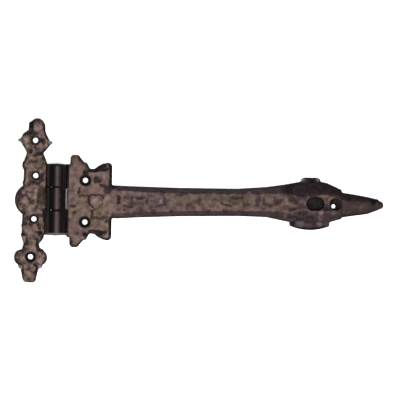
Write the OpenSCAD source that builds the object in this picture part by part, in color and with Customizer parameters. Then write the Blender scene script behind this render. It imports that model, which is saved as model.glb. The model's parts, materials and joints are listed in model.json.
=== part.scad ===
// Ornamental T hinge for a door or gate: a cast jamb leaf with fleur-de-lis ends, a cast strap leaf
// with a spearhead, and one steel pin that is peened flush at both ends of the barrel.
//
// Frame: +X runs along the strap to its tip, +Y along the pin and +Z out of the face, in millimetres.
// The back of both leaves is the plane z = 0. The origin is on that plane, straight under the pin's
// axis and halfway along the barrel. The barrel just touches the back plane.

/* [Barrel] */
// Length of the barrel, over all three knuckles
barrel_l = 59; // [54:1:62]
// Outside diameter of the knuckles, which is also twice the height of the pin's axis
barrel_d = 16.4; // [14.8:0.2:16.4]
// Diameter of the pin
pin_d = 7; // [5:0.5:8]
// Radial clearance of the pin in the middle knuckle
pin_clearance = 0.05; // [0.02:0.01:0.1]
// Middle of the gap between the middle and the upper knuckle
upper_joint_y = 10.4; // [8:0.1:12]
// Middle of the gap between the middle and the lower knuckle
lower_joint_y = -8.8; // [-12:0.1:-7]
// Width of the upper gap
upper_gap = 0.3; // [0.3:0.1:0.8]
// Width of the lower gap, which takes the end play
lower_gap = 0.4; // [0.3:0.1:1.2]
// Rounding at the two ends of the barrel
knuckle_chamfer = 1.2; // [0.5:0.1:1.6]

/* [Leaves] */
// Thickness of both leaves beside the barrel
leaf_t = 4.2; // [3.5:0.1:5]
// Distance from the pin's axis to the near edge of the strap leaf
leaf_edge_x = 8.5; // [8.4:0.1:9.6]
// Thickness of the webs that join the knuckles to their leaf
web_t = 2.2; // [1.5:0.1:3]
// Distance from the pin's axis to the outer edge of the wings
wing_x = 11.1; // [10.5:0.1:12]
// Thickness of the skirt that closes the jamb leaf's side of the barrel
skirt_t = 1.2; // [0.8:0.1:1.4]
// Free room round the outer knuckles, where they pass the jamb leaf
knuckle_room = 0.8; // [0.5:0.1:1]
// How far the strap leaf's webs reach under the gaps beside the middle knuckle
web_reach = 1; // [0:0.1:2]

/* [Jamb leaf] */
// Distance from the pin's axis to the middle line of the jamb leaf
jamb_x = 19.4; // [19:0.1:22]
// Lean of the hand-made jamb leaf against the pin, in degrees
jamb_lean = 1.65; // [0:0.05:2]
// Radius of the round bulge in the outer edge
bulge_r = 13.8; // [12:0.1:15]

/* [Strap leaf] */
// Half width of the root plate at its wing tips
wing_y = 38.4; // [37:0.1:42]
// Height of the flat top of the strap
strap_h = 6; // [5:0.1:7]
// Height of the spearhead's crown
crown_h = 7.4; // [6.4:0.1:8.4]
// Height of the strap's edges, under the bevels
edge_h = 2; // [1.4:0.1:3]
// Distance from the pin's axis to the middle of the plate under the spearhead
plate_x = 210; // [206:0.5:214]
// How far that plate reaches below and above the middle line
plate_y = [-22.3, 21.2]; // [-24:0.1:24]

/* [Screw holes] */
// Diameter of the screw holes in the two leaves' plates, for a No. 8 wood screw
screw_d = 4.4; // [4:0.1:5.4]
// Diameter of the countersinks
countersink_d = 8.6; // [8:0.1:10.4]
// Distance between the jamb leaf's outer pair of holes
outer_pitch = 96.6; // [90:0.1:100]
// Distance between the jamb leaf's inner pair of holes
inner_pitch = 36; // [32:0.1:40]
// Distance between the root plate's pair of holes
root_pitch = 34.6; // [30:0.1:38]
// Distance from the pin's axis to the root plate's holes
root_hole_x = 23.8; // [21:0.1:26]
// Diameter of the single hole in the spearhead, for a No. 6 wood screw
spear_screw_d = 3.6; // [3:0.1:4.4]
// Place of that hole, near the lower left of its pocket
spear_hole = [229.6, -2.3]; // [-3:0.1:232]

/* [Hidden] */
$fn = 64;
axis_z = barrel_d / 2;
// how far webs and skirt run into their leaf, so that they fuse with it
overlap = 2;
skirt_w = 5.4;
inner_chamfer = 0.3;
countersink_h = (countersink_d - screw_d) / 2;
// the middle knuckle runs between its two gaps
mid_lo = lower_joint_y + lower_gap / 2;
mid_hi = upper_joint_y - upper_gap / 2;
upper_lo = upper_joint_y + upper_gap / 2;
lower_hi = lower_joint_y - lower_gap / 2;
middle_room = 0.4;
// the pin's ends are peened into shallow cones
peen_h = 1.2;
peen_d = pin_d + 2 * peen_h;
peen_dome = 0.4;
// middle of the jamb leaf's two pairs of holes, along the leaf
outer_mid_y = 0.3;
inner_mid_y = 1.4;
outer_hole_u = -0.05;
inner_hole_u = 1.4;
root_mid_y = -1.1;
jamb_mid_y = -0.4;
// the head of the spearhead's screw sinks into this pocket
pocket_c = [231.7, -0.65];
pocket_r = 4.35;
pocket_half = 0.5;
pocket_floor = 3;
// the blind oval in the spearhead
oval_c = [214.6, -0.4];
oval_r = 5.3;
oval_half = 1.7;
oval_floor = 2.6;
heart_c = [32.7, 1.3];
heart_r = 3.2;
heart_lobe_x = 2.6;
heart_h = 0.6;
plate_t = 2.4;

// Sections of the strap, from the root plate to the tip:
// place along X, lower edge, upper edge, height of the flat top,
// then how far the lower and the upper bevel reach in
STRAP = [
    [40, -14.8, 12.4, leaf_t, 3.4, 3.4],
    [50, -15.1, 12.4, 4.9, 4.2, 4.2],
    [66, -14.1, 11.9, strap_h, 4.6, 4.6],
    [100, -12.6, 11.2, strap_h, 4.6, 4.4],
    [150, -11.6, 11.2, strap_h, 4.6, 4.6],
    [174, -12.2, 13, strap_h + 0.3, 5, 6],
    [190, -15.4, 15.4, 6.8, 7.4, 8.6],
    [204, -17, 18.2, crown_h, 10, 12.6],
    [214, -17.6, 18.8, crown_h, 10.6, 13.2],
    [224, -16.4, 17, crown_h, 9, 10.4],
    [236, -12.9, 11.6, 6.6, 7.6, 7.4],
    [236.9, -11.5, 9.2, 6, 7.2, 6],
    [248, -9.8, 7.6, 5.4, 6.6, 5.4],
    [258, -8.4, 5.8, 4.6, 5.4, 4.4],
    [267, -4.9, 3.9, 3.4, 3.4, 2.6]
];
nib_c = [267.8, -0.9];
nib_r = 3.4;
nib_h = 2.6;

// ---- shapes that are used more than once ----

// A solid that follows the sections one after the other, with a bevel along each side.
module beveled_bar(sections) {
    n = len(sections);
    function ring(s) = [
        [s[0], s[1], 0], [s[0], s[2], 0], [s[0], s[2], edge_h],
        [s[0], s[2] - s[5], s[3]], [s[0], s[1] + s[4], s[3]], [s[0], s[1], edge_h]
    ];
    sides = 6;
    points = [for (s = sections) each ring(s)];
    start = [[for (k = [0:sides - 1]) k]];
    end = [[for (k = [sides - 1:-1:0]) (n - 1) * sides + k]];
    walls = [for (i = [0:n - 2], k = [0:sides - 1]) let (a = i * sides + k, b = i * sides + (k + 1) % sides)
        each [[a, a + sides, b], [b, a + sides, b + sides]]];
    polyhedron(points, concat(start, end, walls));
}

// A slot with round ends, along X or along Y.
module stadium(r, half, along_x) {
    step = along_x ? [half, 0] : [0, half];
    for (s = [-1, 1]) translate(s * step) circle(r);
    square(along_x ? [2 * half, 2 * r] : [2 * r, 2 * half], center = true);
}

// The cutter for one countersunk screw hole through a leaf of thickness t.
module screw_hole(t) {
    translate([0, 0, -1]) cylinder(h = t + 2, d = screw_d);
    // the cone goes on past the face, so that it cuts clean
    over = 1;
    translate([0, 0, t - countersink_h])
        cylinder(h = countersink_h + over, d1 = screw_d, d2 = countersink_d + 2 * over);
}

// Two such cutters, one above the other.
module hole_pair(x, mid_y, pitch, t) {
    for (s = [-1, 1]) translate([x, mid_y + s * pitch / 2, 0]) screw_hole(t);
}

// A turned shape round the pin's axis, from a profile of [radius, y] points.
module on_pin_axis(profile) {
    translate([0, 0, axis_z]) rotate([-90, 0, 0]) rotate_extrude() polygon(profile);
}

// One knuckle between y = lo and y = hi, with its chamfers at the free ends.
module knuckle(lo, hi, chamfer_lo, chamfer_hi) {
    r = barrel_d / 2;
    on_pin_axis([[0, lo], [r - chamfer_lo, lo], [r, lo + chamfer_lo],
                 [r, hi - chamfer_hi], [r - chamfer_hi, hi], [0, hi]]);
}

// The web that joins one knuckle to its leaf; side is -1 for the jamb leaf and 1 for the strap leaf.
module web(lo, hi, side) {
    reach = leaf_edge_x + overlap;
    translate([side > 0 ? 0 : -reach, lo, 0]) cube([reach, hi - lo, web_t]);
}

// ---- the jamb leaf ----

// Outline of the leaf, with x = 0 on its middle line.
module jamb_outline() {
    // body between the two necks
    polygon([[6.8, 38.5], [9, 33.6], [10.2, 30.5], [10.2, -31.6], [8.4, -34.6], [6, -37.5],
             [-6.2, -37.5], [-8.2, -32], [-8.6, 32], [-6.6, 38.5]]);
    for (c = [[-4.4, 27.8, 5.8], [-5, 13, 4.2], [-4.4, -22.5, 4.4], [-4.4, -30, 4.4]])
        translate([c[0], c[1]]) circle(c[2]);
    translate([-1.3, -1]) circle(bulge_r);
    // upper finial: two pointed lobes with a nub each, and a tall petal
    polygon([[-6.6, 38], [-9.4, 42.5], [-12.1, 46.4], [-12.1, 50], [-10.6, 53.8], [-6.4, 57],
             [7.6, 57], [9.2, 53.2], [11.4, 49.6], [12.9, 46], [10, 42.2], [6.8, 38]]);
    for (c = [[-13.1, 48.2, 1.4], [13, 47.2, 1.5]]) translate([c[0], c[1]]) circle(c[2]);
    polygon([[-6, 55], [-6.1, 62.6], [-5.2, 64], [-3.6, 64.4], [7.4, 62.6], [8, 55]]);
    translate([1.1, 61.2]) circle(5.8);
    // lower finial: two round lobes with a nub each, and a blunt petal
    polygon([[-6.2, -36.5], [-7.4, -42], [-7.4, -58], [7.4, -58], [7.8, -42], [6.2, -36.5]]);
    for (c = [[-6.8, -49, 6.9], [6.2, -46.6, 6.2], [7, -48.4, 6.8], [-7.9, -56.2, 2], [8.4, -55.4, 1.8]])
        translate([c[0], c[1]]) circle(c[2]);
    polygon([[-8.2, -57], [7, -57], [5.2, -66.6], [-5.9, -66.6]]);
    for (u = [-2.7, 2.3]) translate([u, -66.4]) circle(2.9);
    translate([-2.7, -69.3]) square([5, 4]);
}

// Places what is drawn round the leaf's middle line.
module on_jamb() {
    rotate([0, 0, -jamb_lean]) translate([-jamb_x, jamb_mid_y, 0]) children();
}

module jamb_leaf() {
    color([0.4, 0.33, 0.31])
    difference() {
        union() {
            on_jamb() linear_extrude(leaf_t) jamb_outline();
            knuckle(mid_lo, mid_hi, inner_chamfer, inner_chamfer);
            web(mid_lo, mid_hi, -1);
            // the skirt under the outer knuckles' side of the barrel
            translate([-leaf_edge_x - overlap, -barrel_l / 2, 0]) cube([skirt_w, barrel_l, skirt_t]);
        }
        on_pin_axis([[0, mid_lo - 1], [pin_d / 2 + pin_clearance, mid_lo - 1],
                     [pin_d / 2 + pin_clearance, mid_hi + 1], [0, mid_hi + 1]]);
        // room for the outer knuckles
        for (span = [[mid_hi, barrel_l], [-barrel_l, mid_lo]])
            on_pin_axis([[0, span[0]], [axis_z + knuckle_room, span[0]],
                         [axis_z + knuckle_room, span[1]], [0, span[1]]]);
        on_jamb() {
            hole_pair(outer_hole_u, outer_mid_y, outer_pitch, leaf_t);
            hole_pair(inner_hole_u, inner_mid_y, inner_pitch, leaf_t);
        }
    }
}

// ---- the strap leaf ----

// Upper half of the root plate's outline, from the barrel to the strap.
module root_half() {
    polygon([[leaf_edge_x, -2], [leaf_edge_x, barrel_l / 2], [wing_x, barrel_l / 2 + 1],
             [wing_x, wing_y - 3], [19, wing_y - 2], [20.4, 35], [22.6, 32.3], [24.8, 32], [27.6, 26.8],
             [31.6, 27], [34, 29.2], [39, 31.8], [45.9, 29], [45.9, -2]]);
    for (x = [3.2, 5.2]) translate([wing_x + x, wing_y - 3.2]) circle(3.2);
    translate([42.3, 28.7]) circle(3.6);
}

module heart() {
    for (s = [-1, 1]) translate(heart_c + [s * heart_lobe_x, 0]) circle(heart_r);
    translate(heart_c) polygon([[-5.8, 0], [-5.4, -4], [0, -9.2], [5.4, -4], [5.8, 0], [0, 2]]);
}

// The thin plate that shows past the spearhead's two long sides.
module spear_plate() {
    lobe_half = 16.6;
    lobe_r = 42;
    lobe_top = plate_y[0] + 15;
    intersection() {
        translate([plate_x, plate_y[0] + lobe_r]) circle(lobe_r);
        translate([plate_x - lobe_half, plate_y[0]]) square([2 * lobe_half, lobe_top - plate_y[0]]);
    }
    translate([plate_x, 0]) polygon([[-8.4, 12], [-7.2, plate_y[1] - 1], [-5, plate_y[1]],
                                     [6, plate_y[1]], [8.4, plate_y[1] - 1], [9.6, 12]]);
}

module strap_leaf() {
    color([0.38, 0.32, 0.3])
    difference() {
        union() {
            linear_extrude(leaf_t) {
                translate([0, root_mid_y]) {
                    root_half();
                    mirror([0, 1]) root_half();
                }
            }
            linear_extrude(leaf_t + heart_h) heart();
            beveled_bar(STRAP);
            translate([nib_c[0], nib_c[1], 0]) cylinder(h = nib_h, r = nib_r);
            linear_extrude(plate_t) spear_plate();
            knuckle(upper_lo, barrel_l / 2, inner_chamfer, knuckle_chamfer);
            knuckle(-barrel_l / 2, lower_hi, knuckle_chamfer, inner_chamfer);
            difference() {
                union() {
                    web(upper_lo - web_reach, barrel_l / 2, 1);
                    web(-barrel_l / 2, lower_hi + web_reach, 1);
                }
                // room for the middle knuckle
                on_pin_axis([[0, lower_hi], [axis_z + middle_room, lower_hi],
                             [axis_z + middle_room, upper_lo], [0, upper_lo]]);
            }
        }
        // the pin fits tight here, and its ends are peened into cones
        on_pin_axis([[0, -barrel_l], [peen_d / 2, -barrel_l], [peen_d / 2, -barrel_l / 2],
                     [pin_d / 2, -barrel_l / 2 + peen_h], [pin_d / 2, barrel_l / 2 - peen_h],
                     [peen_d / 2, barrel_l / 2], [peen_d / 2, barrel_l], [0, barrel_l]]);
        hole_pair(root_hole_x, root_mid_y, root_pitch, leaf_t);
        translate([spear_hole[0], spear_hole[1], -1]) cylinder(h = crown_h, d = spear_screw_d);
        translate([pocket_c[0], pocket_c[1], pocket_floor])
            linear_extrude(crown_h) stadium(pocket_r, pocket_half, false);
        translate([oval_c[0], oval_c[1], oval_floor])
            linear_extrude(crown_h) stadium(oval_r, oval_half, true);
    }
}

// ---- the pin ----

module hinge_pin() {
    r = pin_d / 2;
    end = barrel_l / 2;
    color([0.3, 0.27, 0.27])
    on_pin_axis([[0, -end - peen_dome], [r, -end - peen_dome], [peen_d / 2, -end], [r, -end + peen_h],
                 [r, end - peen_h], [peen_d / 2, end], [r, end + peen_dome], [0, end + peen_dome]]);
}

jamb_leaf();
strap_leaf();
hinge_pin();
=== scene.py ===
# %% [markdown]
# # An antique iron T hinge
# The hinge has three pieces: a cast jamb leaf with fleur-de-lis ends, a cast strap leaf with a
# spearhead, and a steel pin. The measured model gives every shape its place and size. This lesson
# turns it into rough, rubbed castings. The plan is the one that a sculptor uses: start from a plain
# block of the right outline, fuse it to even clay, and then press, round and hammer it with weights.

# %% The measured model
import bpy
import json
import math
import numpy as np
from mathutils import Matrix, Vector, noise
from mathutils.kdtree import KDTree


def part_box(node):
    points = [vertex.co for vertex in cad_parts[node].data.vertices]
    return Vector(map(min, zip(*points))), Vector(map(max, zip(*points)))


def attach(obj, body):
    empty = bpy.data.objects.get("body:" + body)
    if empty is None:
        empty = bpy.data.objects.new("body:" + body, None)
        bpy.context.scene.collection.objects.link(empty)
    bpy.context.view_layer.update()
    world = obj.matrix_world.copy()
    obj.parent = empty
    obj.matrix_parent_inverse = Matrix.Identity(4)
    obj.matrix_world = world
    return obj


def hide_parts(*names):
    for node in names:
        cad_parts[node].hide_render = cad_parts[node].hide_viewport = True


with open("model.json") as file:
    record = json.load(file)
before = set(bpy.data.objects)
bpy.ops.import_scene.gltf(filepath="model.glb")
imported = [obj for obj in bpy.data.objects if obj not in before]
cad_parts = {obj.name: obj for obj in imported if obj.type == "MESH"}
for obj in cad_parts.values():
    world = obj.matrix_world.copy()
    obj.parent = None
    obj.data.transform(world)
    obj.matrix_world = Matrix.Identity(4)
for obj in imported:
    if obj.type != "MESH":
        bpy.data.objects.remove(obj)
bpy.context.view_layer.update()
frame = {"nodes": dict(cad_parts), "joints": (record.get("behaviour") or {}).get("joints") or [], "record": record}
MM = 0.001

# %% [markdown]
# ## Where things are
# The pin's axis comes from the one joint, and the screw holes come from the record's mounts. A
# pattern of two holes is kept as its middle and its spacing, so the two places are worked out here.
# From here on, places on the hinge are millimetres along the strap (x) and along the pin (y).

# %% Places that the record gives
joint = frame["joints"][0]
PIN_AXIS = Vector(joint["pos_m"])
pin_low, pin_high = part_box("hinge_pin")
KNUCKLE_R = PIN_AXIS.z / MM
BARREL_HALF = 29.5
mounts = {m["name"]: m for m in frame["record"]["mounts"]}
JAMB_LEAN = math.radians(1.65)


def pair(name, lean):
    """The two (x, y) places of a pattern of two holes, whose line leans that far from Y."""
    m = mounts[name]
    half = (m["dims"].get("pcd_mm") or m["dims"].get("spacing_y_mm")) / 2
    x, y = m["pos_m"][0] / MM, m["pos_m"][1] / MM
    return [(x + s * half * math.sin(lean), y + s * half * math.cos(lean)) for s in (1, -1)]


upper_hole, lower_hole = pair("jamb_outer_screws", JAMB_LEAN)
inner_holes = pair("jamb_inner_screws", JAMB_LEAN)
root_holes = pair("strap_root_screws", 0)
print("pin axis", round(KNUCKLE_R, 2), "mm up; holes at", upper_hole, lower_hole, inner_holes, root_holes)

# %% [markdown]
# ## The camera
# The hinge lies flat and is seen from straight above, a little turned. A camera looks along its own
# -Z, so with no rotation it already looks down, and a turn about Z makes the picture turn the other
# way. The lens is worked out from how much of the floor the picture shows.

# %% Camera
VIEW_HEIGHT = 2000 * MM
VIEW_WIDTH = 332 * MM
VIEW_CENTRE = Vector((119 * MM, 1.35 * MM, 0))
TURN = math.radians(0.85)
SENSOR_WIDTH = 36

camera = bpy.data.objects.new("camera", bpy.data.cameras.new("camera"))
bpy.context.scene.collection.objects.link(camera)
camera.location = VIEW_CENTRE + Vector((0, 0, VIEW_HEIGHT))
camera.rotation_euler = (0, 0, TURN)
camera.data.sensor_width = SENSOR_WIDTH
camera.data.lens = SENSOR_WIDTH * VIEW_HEIGHT / VIEW_WIDTH
bpy.context.scene.camera = camera
print("lens", round(camera.data.lens, 1), "mm")

# %% [markdown]
# ## A blank to carve
# A casting is one lump of metal with soft edges. The measured solid has the right outline, holes and
# bevels, but its faces are long thin triangles that can't be pressed or hammered. A voxel Remesh
# turns a copy of it into small, even quads, like clay. The copy's loose triangles are merged first,
# because a voxel remesh needs a closed surface. Remesh is applied, so that weights can be painted on
# its points.


# %% Casting blank
def apply_stack(piece):
    """Keeps the shape that the modifiers give and drops them."""
    bpy.context.view_layer.update()
    made = piece.evaluated_get(bpy.context.evaluated_depsgraph_get())
    shape = bpy.data.meshes.new_from_object(made)
    old = piece.data
    piece.modifiers.clear()
    piece.data = shape
    bpy.data.meshes.remove(old)
    shape.name = piece.name


def casting_blank(name, node, voxel):
    """A copy of a measured solid as even clay."""
    mesh = frame["nodes"][node].data.copy()
    mesh.materials.clear()
    blank = bpy.data.objects.new(name, mesh)
    bpy.context.scene.collection.objects.link(blank)
    weld = blank.modifiers.new("close the surface", "WELD")
    weld.merge_threshold = 0.002 * MM
    clay = blank.modifiers.new("even clay", "REMESH")
    clay.mode = "VOXEL"
    clay.voxel_size = voxel
    clay.use_smooth_shade = True
    apply_stack(blank)
    print(name, len(blank.data.polygons), "faces")
    return blank


jamb = casting_blank("jamb_casting", "jamb_leaf", 0.4 * MM)
strap = casting_blank("strap_casting", "strap_leaf", 0.55 * MM)

# %% [markdown]
# ## Weights: where to press
# Every mark on the castings is made the same way. A weight from 0 to 1 is painted on each point by a
# short formula, and a Displace modifier with no texture moves the points straight up or down by that
# weight. Numpy reads all the points at once, which is much quicker than a loop over them.


# %% Reading points and painting weights
def points_of(piece):
    """Every point's place in millimetres and its outward direction, as two tables of three columns."""
    mesh = piece.data
    places = np.empty(len(mesh.vertices) * 3)
    facing = np.empty(len(mesh.vertices) * 3)
    mesh.vertices.foreach_get("co", places)
    mesh.vertex_normals.foreach_get("vector", facing)
    return places.reshape(-1, 3) / MM, facing.reshape(-1, 3)


def ramp(value, low, high):
    """0 below low, 1 above high and a soft S between them. It falls where high is under low."""
    t = np.clip((value - low) / (high - low), 0, 1)
    return t * t * (3 - 2 * t)


def stretch(value, start, full, last, end):
    """0 before start, 1 from full to last and 0 after end, with soft S curves between them."""
    return ramp(value, start, full) * ramp(value, end, last)


def keep_weight(piece, name, weight):
    """Stores one weight a point in a vertex group, which is what modifiers read."""
    group = piece.vertex_groups.new(name=name)
    levels = np.round(np.clip(weight, 0, 1) * 64).astype(int)
    for level in range(1, 65):
        members = np.nonzero(levels == level)[0]
        if len(members):
            group.add(members.tolist(), level / 64, "REPLACE")


def keep_look(piece, name, value, back=0, plain=0):
    """Stores one number a point in an attribute, which materials read; the back gets the plain one."""
    value = value * (1 - back) + plain * back
    layer = piece.data.attributes.new(name, "FLOAT", "POINT")
    layer.data.foreach_set("value", np.clip(value, 0, 1).astype(np.float32))


def wear_corners(piece, weight, rounds):
    """Takes the hard corners off where the weight is, as sand casting and handling do."""
    keep_weight(piece, "worn", weight)
    worn = piece.modifiers.new("worn corners", "SMOOTH")
    worn.factor = 0.5
    worn.iterations = rounds
    worn.vertex_group = "worn"


def press(piece, name, weight, depth, direction="Z"):
    """Moves the points down by depth times their weight, or back along another axis than Z.

    A negative depth raises them.
    """
    keep_weight(piece, name, weight)
    push = piece.modifiers.new("press " + name, "DISPLACE")
    push.direction = direction
    push.mid_level = 0
    push.strength = -depth * MM
    push.vertex_group = name


def near_lines(places, lines, reach):
    """For (strength, [(x, y), ...]) lines: the strength on the line, falling to 0 at that reach."""
    xy = places[:, :2]
    weight = np.zeros(len(xy))
    for strength, line in lines:
        gap = np.full(len(xy), 1e9)
        for a, b in zip(line[:-1], line[1:]):
            a, b = np.array(a, float), np.array(b, float)
            along = np.clip(((xy - a) @ (b - a)) / ((b - a) @ (b - a)), 0, 1)
            gap = np.minimum(gap, np.linalg.norm(xy - a - along[:, None] * (b - a), axis=1))
        weight = np.maximum(weight, strength * ramp(gap, reach, 0.1 * reach))
    return weight


def near_spots(places, spots, edge=0.5):
    """For (x, y, radius, strength) spots: the strength inside, fading from edge times the radius."""
    weight = np.zeros(len(places))
    for x, y, r, strength in spots:
        gap = np.hypot(places[:, 0] - x, places[:, 1] - y)
        weight = np.maximum(weight, strength * ramp(gap, r, r * edge))
    return weight


def wobbled(places, by, size):
    """The same points moved about a little, so that marks read from them have ragged outlines."""
    return np.array([p + by * np.array(noise.noise_vector(p / size)) for p in places])


def uneven(places, size, shift):
    """A soft random number from 0 to 1 for each point, which changes over that many millimetres."""
    return np.array([0.5 + 0.5 * noise.noise((x / size + shift, y / size, z / size)) for x, y, z in places])


# %% [markdown]
# ## Rims
# The outline of a casting is never a sharp corner: here it falls away in a bevel that is 2 to 3 mm
# wide. A Bevel modifier can't do that on a mesh of tiny faces. So each point finds the nearest
# upright wall of the outline with a KD-tree, which is a quick search for near points, and the rim's
# weight grows as the wall comes near. The walls of screw holes and of the barrel don't count. A
# Smooth modifier takes the hard corners off before the rims are pressed. The strap leaf's edge beside
# the middle knuckle is drawn out to a thin lip, so that only a narrow slot is left there.
#
# A copy of the points is also moved about a little by noise, so that the marks read from it later have
# ragged outlines. That noise starts from the clock unless it gets a seed. So a seed is set first, and
# every run gives the same castings.


# %% Distance to the outline
def gap_to_wall(places, facing, keep_out):
    """How far each point is from the outline's upright walls, seen from above."""
    found = np.nonzero((np.abs(facing[:, 2]) < 0.4) & ~keep_out)[0]
    tree = KDTree(len(found))
    for i in found:
        tree.insert((places[i, 0], places[i, 1], 0), int(i))
    tree.balance()
    return np.array([tree.find((x, y, 0))[2] for x, y in places[:, :2]])


def barrel_zone(places):
    """1 on the knuckles and their webs, which stay smooth and black."""
    across = ramp(np.abs(places[:, 0]), KNUCKLE_R + 1.2, KNUCKLE_R + 0.6)
    return across * ramp(np.abs(places[:, 1]), BARREL_HALF + 0.4, BARREL_HALF)


# %% Bevelled rims
LEAF_T = 4.2
WEAR_ROUNDS = 3
HOLE_REACH = 6.2
RAGGED_BY = 1.3
RAGGED_SIZE = 3
RAGGED_SEED = 4
JAMB_RIM_WIDTH = 2.4
JAMB_RIM_DEPTH = 1.5
STRAP_RIM_WIDTH = 3
STRAP_RIM_DEPTH = 2
# each slot is (x, y, radius, half length between its round ends)
SPEAR_OVAL = (214.6, -0.4, 5.3, 1.7)
SPEAR_POCKET = (231.7, -0.65, 4.35, 0.5)

noise.seed_set(RAGGED_SEED)
jamb_xyz, jamb_out = points_of(jamb)
jamb_soft = wobbled(jamb_xyz, RAGGED_BY, RAGGED_SIZE)
jamb_barrel = barrel_zone(jamb_xyz)
jamb_holes = [(*hole, HOLE_REACH, 1) for hole in (upper_hole, lower_hole, *inner_holes)]
jamb_skip = (near_spots(jamb_xyz, jamb_holes) > 0.01) | (jamb_barrel > 0.5)
jamb_gap = gap_to_wall(jamb_xyz, jamb_out, jamb_skip)
small_holes = [(*hole, 4, 1) for hole in (upper_hole, *inner_holes)]
wear_corners(jamb, (1 - jamb_barrel) * (1 - near_spots(jamb_xyz, small_holes, 0.8)), WEAR_ROUNDS)
jamb_rim = ramp(jamb_gap, JAMB_RIM_WIDTH, 0) * (1 - jamb_barrel)
press(jamb, "rim", jamb_rim * np.clip(jamb_xyz[:, 2] / LEAF_T, 0, 1.2), JAMB_RIM_DEPTH)

strap_xyz, strap_out = points_of(strap)
strap_soft = wobbled(strap_xyz, RAGGED_BY, RAGGED_SIZE)
along, across, height = strap_xyz.T
strap_barrel = barrel_zone(strap_xyz)
strap_holes = [(*hole, HOLE_REACH, 1) for hole in root_holes]
strap_holes += [(*SPEAR_OVAL[:2], 9, 1), (231.7, -0.6, 7, 1)]
strap_skip = (near_spots(strap_xyz, strap_holes) > 0.01) | (strap_barrel > 0.5)
strap_gap = gap_to_wall(strap_xyz, strap_out, strap_skip)
wear_corners(strap, 1 - strap_barrel, WEAR_ROUNDS)
strap_rim = ramp(strap_gap, STRAP_RIM_WIDTH, 0) * (1 - strap_barrel)
on_root = ramp(along, 49, 46.5)
press(strap, "rim", strap_rim * np.clip(height / LEAF_T, 0, 1.2) * on_root, STRAP_RIM_DEPTH)
slot_side = ramp(np.abs(across - 0.5), 9.2, 8.6)
press(strap, "lip", slot_side * ramp(along, 9.6, 8.8), 0.25, "X")
print("rims done")

# %% [markdown]
# ## Petals, creases and pits
# The maker cut each leaf's ornament with a chisel: petals and lobes stand a little proud, and short
# creases, scale-like ticks and small pits lie between them. Each kind of mark is one list of places
# and one Displace. The marks are also kept as looks: what is deep is painted dark, partly for the
# black lacquer that stays in it and partly as painted shade, and the lacquer is rubbed off what stands proud.

# %% Marks on the jamb leaf
# petals and pits are (x, y, radius, strength), creases are (strength, [(x, y), ...])
JAMB_PETALS = [
    (-17, 60, 6.5, 1), (-26, 48.6, 5.5, 1), (-8.6, 45.8, 5.5, 1), (-19, 26, 6, 1), (-21, 6, 7, 1),
    (-26, -3, 6, 1), (-14, -9, 5, 1), (-27, -48.5, 6, 1), (-12.4, -49, 6, 1), (-20.5, -60.5, 6, 1),
    (-20, -29, 6, 1), (-17.6, 35, 4, 0.7), (-20, -38, 4, 0.7),
]
JAMB_CREASES = [
    (0.8, [(-20.6, 62.8), (-20.8, 57), (-23.4, 55)]),
    (0.6, [(-23.4, 55), (-28.6, 53.4)]),
    (0.5, [(-12, 63), (-9.6, 55), (-8.6, 51)]),
    (0.7, [(-14.8, 49.8), (-11.6, 48.6)]),
    (0.6, [(-18.2, 46), (-18, 42)]),
    (0.4, [(-20, 36), (-15.6, 37.4)]),
    (0.4, [(-22, 31.6), (-16.6, 31)]),
    (0.5, [(-12.6, 21), (-12, 16), (-16.4, 13)]),
    (0.3, [(-22.4, 21), (-22, 15.4)]),
    (0.15, [(-31, 5), (-28, 3), (-24.6, 3.2)]),
    (0.4, [(-29.6, -9.4), (-26, -11.6)]),
    (0.5, [(-15.4, -13.2), (-11.8, -13)]),
    (0.6, [(-15.4, -14.6), (-15.6, -21)]),
    (0.4, [(-24.6, -14), (-24.4, -18)]),
    (0.8, [(-15.4, -34), (-15.2, -41.4)]),
    (0.7, [(-15.2, -41.4), (-12.6, -42.6), (-9.8, -43.6)]),
    (0.6, [(-24, -33), (-24.6, -37)]),
    (0.7, [(-31, -53.8), (-27, -55), (-27.2, -62)]),
    (0.9, [(-17.2, -54.6), (-15.4, -56.4), (-15.4, -60), (-16.8, -65)]),
    (0.4, [(-22.6, -65.4), (-22.4, -68)]),
]
JAMB_PITS = [
    (-22, 61.4, 2.6, 0.95), (-28.4, 53.4, 2.2, 0.7), (-18.6, 53.4, 3.6, 0.8), (-22.2, 39.8, 2.4, 0.9),
    (-13.6, 38, 3, 0.75), (-10.8, 33.8, 2, 0.6), (-24.6, 35, 1.8, 0.3), (-20.6, 31, 1.8, 0.35),
    (-18.4, 15, 2.6, 0.75), (-13, 16.6, 2, 0.5), (-21.2, -2.6, 2.4, 0.2), (-24.6, 7, 1.8, 0.2),
    (-20.8, -19.8, 3, 0.9), (-25.2, -20.4, 1.8, 0.5), (-13.2, -28, 2.8, 0.95), (-27.6, -29.2, 2, 0.9),
    (-11, -31, 2.2, 0.6), (-13.6, -23.4, 2.4, 0.5), (-32.4, -51, 2, 0.5), (-17, -61.4, 1.8, 0.4),
]
# pale lines and spots: partly rubbed spots, partly painted highlights on ridges and on the finial's nubs
JAMB_PALE_LINES = [
    (0.7, [(-9.2, 26), (-9, 12)]), (0.7, [(-10.4, -16), (-10.2, -27)]), (0.9, [(-16.8, 8), (-16.8, -4)]),
    (0.5, [(-24.4, 24), (-22, 24)]),
]
JAMB_PALE_SPOTS = [
    (-16.4, 57.4, 3.4, 0.9), (-26, 50, 3.6, 0.7), (-23.4, 44.6, 2.6, 0.7), (-8.4, 44.6, 3.8, 0.8),
    (-7.6, 47.6, 2, 0.7), (-12.6, -47.6, 3.4, 0.3), (-21, 2, 2.6, 0.8), (-14.4, -8, 3, 0.8),
    (-20, -26.4, 3, 0.6), (-31.8, 48.8, 2.2, 2.4), (-4.6, 46.8, 2.2, 2.4), (-29.4, -56.6, 2, 1.8),
    (-12.4, -56.4, 2, 1.8), (-25.6, -2, 3.4, 0.4),
]


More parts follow.
